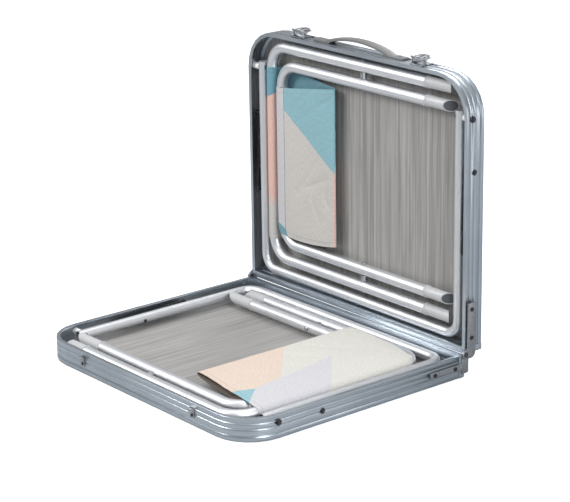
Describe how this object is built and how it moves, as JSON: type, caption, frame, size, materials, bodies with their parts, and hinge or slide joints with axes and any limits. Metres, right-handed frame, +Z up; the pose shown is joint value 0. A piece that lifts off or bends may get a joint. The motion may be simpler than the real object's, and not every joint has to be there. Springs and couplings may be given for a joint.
{
  "type": "folding picnic table with stools",
  "caption": "Suitcase-style folding picnic table, opened at a right angle: two hinged aluminium trays with folding leg frames, and folding X-frame stools packed inside.",
  "frame": {"origin": "bottom centre of the bounding box: the floor plane under the lower tray, which lies on its table-top face", "axes": "+X along the hinge, +Z up; the lower tray's free edge points to -Y and the lid stands at +Y with its open side to -Y"},
  "size_m": [0.615, 0.5486, 0.5613],
  "materials": {
    "aluminium_profile": "satin anodised extrusion",
    "aluminium_tube": "satin anodised tube",
    "zinc_steel": "zinc plated",
    "dark_steel": "blackened steel strip",
    "board": "grey wood-grain laminate",
    "grey_plastic": "moulded matt",
    "white_plastic": "moulded",
    "seat_cloth": "plain-weave polyester with large colour areas"
  },
  "bodies": {
    "lower_half": {"lower_rim": "aluminium_profile", "lower_hinge_rail": "aluminium_profile", "lower_board": "board", "lower_leg_bush_left": "white_plastic", "lower_leg_bush_right": "white_plastic", "lower_leg_rivet_left": "zinc_steel", "lower_leg_rivet_right": "zinc_steel", "lower_hinge_leaf_left": "zinc_steel", "lower_hinge_leaf_right": "zinc_steel", "hinge_pin_left": "zinc_steel", "hinge_pin_right": "zinc_steel", "catch_left": "zinc_steel", "catch_right": "zinc_steel"},
    "lid_half": {"lid_rim": "aluminium_profile", "lid_hinge_rail": "aluminium_profile", "lid_board": "board", "lid_leg_bush_left": "white_plastic", "lid_leg_bush_right": "white_plastic", "lid_leg_rivet_left": "zinc_steel", "lid_leg_rivet_right": "zinc_steel", "lid_hinge_leaf_left": "zinc_steel", "lid_hinge_leaf_right": "zinc_steel", "latch_base_left": "zinc_steel", "latch_base_right": "zinc_steel", "handle": "grey_plastic"},
    "lower_leg": {"lower_leg_frame": "aluminium_tube"},
    "lower_brace_wall_links": {"lower_brace_wall_link_left": "dark_steel", "lower_brace_wall_link_right": "dark_steel"},
    "lower_brace_leg_links": {"lower_brace_leg_link_left": "dark_steel", "lower_brace_leg_link_right": "dark_steel"},
    "lower_stool_pivots": {"lower_stool_pivot_near": "zinc_steel", "lower_stool_pivot_far": "zinc_steel"},
    "lower_stool_outer": {"lower_stool_outer_frame": "aluminium_tube", "lower_stool_outer_foot_near": "grey_plastic", "lower_stool_outer_foot_far": "grey_plastic", "lower_stool_outer_seat": "seat_cloth"},
    "lower_stool_inner": {"lower_stool_inner_frame": "aluminium_tube", "lower_stool_inner_foot_near": "grey_plastic", "lower_stool_inner_foot_far": "grey_plastic", "lower_stool_inner_seat": "seat_cloth"},
    "lid_leg": {"lid_leg_frame": "aluminium_tube"},
    "lid_brace_wall_links": {"lid_brace_wall_link_left": "dark_steel", "lid_brace_wall_link_right": "dark_steel"},
    "lid_brace_leg_links": {"lid_brace_leg_link_left": "dark_steel", "lid_brace_leg_link_right": "dark_steel"},
    "lid_stool_pivots": {"lid_stool_pivot_near": "zinc_steel", "lid_stool_pivot_far": "zinc_steel"},
    "lid_stool_outer": {"lid_stool_outer_frame": "aluminium_tube", "lid_stool_outer_foot_near": "grey_plastic", "lid_stool_outer_foot_far": "grey_plastic", "lid_stool_outer_seat": "seat_cloth"},
    "lid_stool_inner": {"lid_stool_inner_frame": "aluminium_tube", "lid_stool_inner_foot_near": "grey_plastic", "lid_stool_inner_foot_far": "grey_plastic", "lid_stool_inner_seat": "seat_cloth"},
    "latch_lever_left": {"latch_lever_left": "zinc_steel"},
    "latch_bail_left": {"latch_bail_left": "zinc_steel"},
    "latch_lever_right": {"latch_lever_right": "zinc_steel"},
    "latch_bail_right": {"latch_bail_right": "zinc_steel"}
  },
  "joints": [
    {"name": "lid_hinge", "type": "hinge", "parent": "lower_half", "child": "lid_half", "pos_m": [0, 0.23185, 0.0425], "axis": [-1, 0, 0], "range_deg": [-90, 90]},
    {"name": "lower_leg_fold", "type": "hinge", "parent": "lower_half", "child": "lower_leg", "pos_m": [0, -0.19415, 0.029], "axis": [1, 0, 0], "range_deg": [0, 90]},
    {"name": "lower_brace_swing", "type": "hinge", "parent": "lower_half", "child": "lower_brace_wall_links", "pos_m": [0, -0.09915, 0.024], "axis": [1, 0, 0], "range_deg": [0, 120.95]},
    {"name": "lower_brace_knee", "type": "hinge", "parent": "lower_brace_wall_links", "child": "lower_brace_leg_links", "pos_m": [0, 0.00451, 0.02918], "axis": [1, 0, 0], "range_deg": [-180.5, 0]},
    {"name": "lower_stool_lift_out", "type": "slide", "parent": "lower_half", "child": "lower_stool_pivots", "axis": [0, 0, 1], "range_m": [0, 0.72]},
    {"name": "lower_stool_outer_turn", "type": "hinge", "parent": "lower_stool_pivots", "child": "lower_stool_outer", "pos_m": [-0.018, -0.03215, 0.029], "axis": [0, -1, 0], "range_deg": [0, 135.5]},
    {"name": "lower_stool_scissor", "type": "hinge", "parent": "lower_stool_outer", "child": "lower_stool_inner", "pos_m": [-0.018, -0.03215, 0.029], "axis": [0, -1, 0], "range_deg": [-90.5, 0]},
    {"name": "lid_leg_fold", "type": "hinge", "parent": "lid_half", "child": "lid_leg", "pos_m": [0, 0.24535, 0.4685], "axis": [-1, 0, 0], "range_deg": [0, 90]},
    {"name": "lid_brace_swing", "type": "hinge", "parent": "lid_half", "child": "lid_brace_wall_links", "pos_m": [0, 0.25035, 0.3735], "axis": [-1, 0, 0], "range_deg": [0, 120.95]},
    {"name": "lid_brace_knee", "type": "hinge", "parent": "lid_brace_wall_links", "child": "lid_brace_leg_links", "pos_m": [0, 0.24517, 0.26984], "axis": [-1, 0, 0], "range_deg": [-180.5, 0]},
    {"name": "lid_stool_lift_out", "type": "slide", "parent": "lid_half", "child": "lid_stool_pivots", "axis": [0, -1, 0], "range_m": [0, 0.72]},
    {"name": "lid_stool_outer_turn", "type": "hinge", "parent": "lid_stool_pivots", "child": "lid_stool_outer", "pos_m": [0.018, 0.24535, 0.3065], "axis": [0, 0, 1], "range_deg": [0, 45.5]},
    {"name": "lid_stool_scissor", "type": "hinge", "parent": "lid_stool_outer", "child": "lid_stool_inner", "pos_m": [0.018, 0.24535, 0.3065], "axis": [0, 0, 1], "range_deg": [0, 90.5]},
    {"name": "latch_lever_left_turn", "type": "hinge", "parent": "lid_half", "child": "latch_lever_left", "pos_m": [0.163, 0.24535, 0.55], "axis": [1, 0, 0], "range_deg": [0, 70]},
    {"name": "latch_bail_left_swing", "type": "hinge", "parent": "latch_lever_left", "child": "latch_bail_left", "pos_m": [0.163, 0.23985, 0.5567], "axis": [-1, 0, 0], "range_deg": [-204, 0]},
    {"name": "latch_lever_right_turn", "type": "hinge", "parent": "lid_half", "child": "latch_lever_right", "pos_m": [-0.163, 0.24535, 0.55], "axis": [1, 0, 0], "range_deg": [0, 70]},
    {"name": "latch_bail_right_swing", "type": "hinge", "parent": "latch_lever_right", "child": "latch_bail_right", "pos_m": [-0.163, 0.23985, 0.5567], "axis": [-1, 0, 0], "range_deg": [-204, 0]}
  ],
  "couplings": [
    {"joint": "lower_brace_swing", "follows": "lower_leg_fold", "ratio": 1.3383},
    {"joint": "lower_brace_knee", "follows": "lower_leg_fold", "ratio": -2},
    {"joint": "lower_stool_outer_turn", "follows": "lower_stool_lift_out", "rad_per_m": 3.2725},
    {"joint": "lower_stool_scissor", "follows": "lower_stool_lift_out", "rad_per_m": -2.1817},
    {"joint": "lid_brace_swing", "follows": "lid_leg_fold", "ratio": 1.3383},
    {"joint": "lid_brace_knee", "follows": "lid_leg_fold", "ratio": -2},
    {"joint": "lid_stool_outer_turn", "follows": "lid_stool_lift_out", "rad_per_m": 1.0908},
    {"joint": "lid_stool_scissor", "follows": "lid_stool_lift_out", "rad_per_m": 2.1817}
  ]
}
